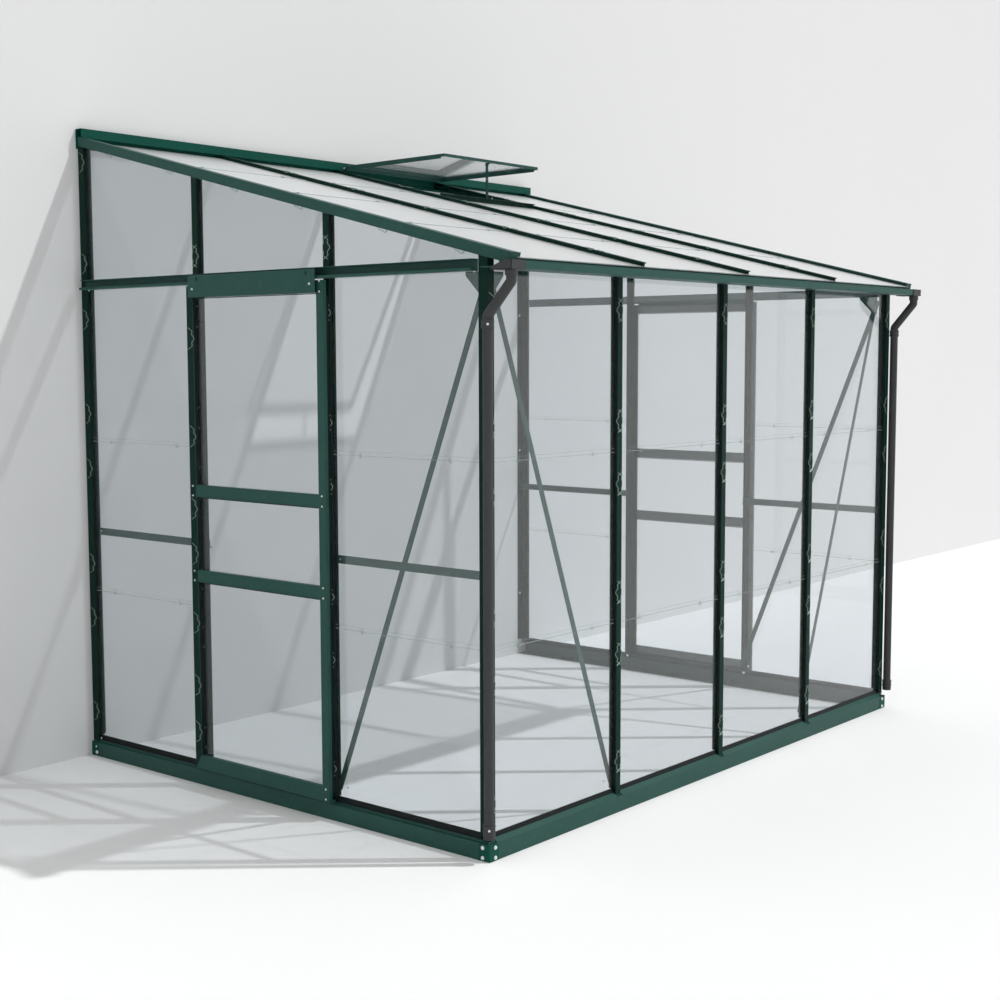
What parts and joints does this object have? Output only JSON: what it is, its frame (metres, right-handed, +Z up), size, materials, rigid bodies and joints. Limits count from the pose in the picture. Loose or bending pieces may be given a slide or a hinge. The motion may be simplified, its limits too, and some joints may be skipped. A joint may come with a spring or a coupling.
{
  "type": "lean to greenhouse",
  "caption": "Lean-to greenhouse with a green glazed aluminium frame, sliding doors in the ends, an opening roof vent, gutter and downpipes.",
  "frame": {"origin": "under the middle of the greenhouse's bounding box, on the ground", "axes": "+X along the front from the left end to the right end seen from outside, +Y from the front to the building wall, +Z up"},
  "size_m": [2.612, 2.0176, 2.2585],
  "materials": {
    "frame_paint": "satin green powder coat",
    "glass": "clear",
    "grey_plastic": "satin",
    "roller_nylon": "matt",
    "bright_steel": "zinc plated"
  },
  "bodies": {
    "structure": {"front_bar_1": "frame_paint", "front_bar_2": "frame_paint", "front_bar_3": "frame_paint", "front_base_rail": "frame_paint", "front_pane_1": "glass", "front_pane_2": "glass", "front_pane_3": "glass", "front_pane_4": "glass", "gutter": "frame_paint", "left_base_rail": "frame_paint", "left_corner_post": "frame_paint", "left_door_track": "frame_paint", "left_downpipe": "grey_plastic", "left_end_bar_1": "frame_paint", "left_end_bar_2": "frame_paint", "left_end_brace": "frame_paint", "left_end_pane_1": "glass", "left_end_pane_2": "glass", "left_end_pane_3": "glass", "left_front_brace": "frame_paint", "left_front_stiffener": "frame_paint", "left_gable_rafter": "frame_paint", "left_wall_post": "frame_paint", "left_wall_stiffener": "frame_paint", "ridge_rail": "frame_paint", "right_base_rail": "frame_paint", "right_corner_post": "frame_paint", "right_door_track": "frame_paint", "right_downpipe": "grey_plastic", "right_end_bar_1": "frame_paint", "right_end_bar_2": "frame_paint", "right_end_brace": "frame_paint", "right_end_pane_1": "glass", "right_end_pane_2": "glass", "right_end_pane_3": "glass", "right_front_brace": "frame_paint", "right_front_stiffener": "frame_paint", "right_gable_rafter": "frame_paint", "right_wall_post": "frame_paint", "right_wall_stiffener": "frame_paint", "roof_bar_1": "frame_paint", "roof_bar_2": "frame_paint", "roof_bar_3": "frame_paint", "roof_pane_1": "glass", "roof_pane_2": "glass", "roof_pane_3": "glass", "roof_pane_4": "glass", "vent_sill": "frame_paint"},
    "vent": {"vent_frame": "frame_paint", "vent_pane": "glass"},
    "vent_stay_bar": {"vent_stay": "frame_paint"},
    "left_door": {"left_door_frame": "frame_paint", "left_door_pane": "glass"},
    "left_roller_front": {"left_door_roller_front": "roller_nylon"},
    "left_roller_wall": {"left_door_roller_wall": "roller_nylon"},
    "right_door": {"right_door_frame": "frame_paint", "right_door_pane": "glass"},
    "right_roller_front": {"right_door_roller_front": "roller_nylon"},
    "right_roller_wall": {"right_door_roller_wall": "roller_nylon"}
  },
  "joints": [
    {"name": "left_door_slide", "type": "slide", "parent": "structure", "child": "left_door", "axis": [0, 1, 0], "range_m": [0, 0.6]},
    {"name": "left_roller_front_turn", "type": "hinge", "parent": "left_door", "child": "left_roller_front", "pos_m": [-1.2931, -0.19615, 1.7088], "axis": [-1, 0, 0], "continuous": true},
    {"name": "left_roller_wall_turn", "type": "hinge", "parent": "left_door", "child": "left_roller_wall", "pos_m": [-1.2931, 0.32385, 1.7088], "axis": [-1, 0, 0], "continuous": true},
    {"name": "right_door_slide", "type": "slide", "parent": "structure", "child": "right_door", "axis": [0, 1, 0], "range_m": [0, 0.6]},
    {"name": "right_roller_front_turn", "type": "hinge", "parent": "right_door", "child": "right_roller_front", "pos_m": [1.2931, -0.19615, 1.7088], "axis": [-1, 0, 0], "continuous": true},
    {"name": "right_roller_wall_turn", "type": "hinge", "parent": "right_door", "child": "right_roller_wall", "pos_m": [1.2931, 0.32385, 1.7088], "axis": [-1, 0, 0], "continuous": true},
    {"name": "vent_hinge", "type": "hinge", "parent": "structure", "child": "vent", "pos_m": [0.311, 0.96855, 2.23573], "axis": [-1, 0, 0], "range_deg": [-14.5, 20]},
    {"name": "vent_stay_pivot", "type": "hinge", "parent": "vent", "child": "vent_stay_bar", "pos_m": [0.311, 0.43854, 2.23741], "axis": [1, 0, 0], "range_deg": [0, 80]}
  ],
  "couplings": [
    {"joint": "left_roller_front_turn", "follows": "left_door_slide", "rad_per_m": 113.64},
    {"joint": "left_roller_wall_turn", "follows": "left_door_slide", "rad_per_m": 113.64},
    {"joint": "right_roller_front_turn", "follows": "right_door_slide", "rad_per_m": 113.64},
    {"joint": "right_roller_wall_turn", "follows": "right_door_slide", "rad_per_m": 113.64}
  ]
}
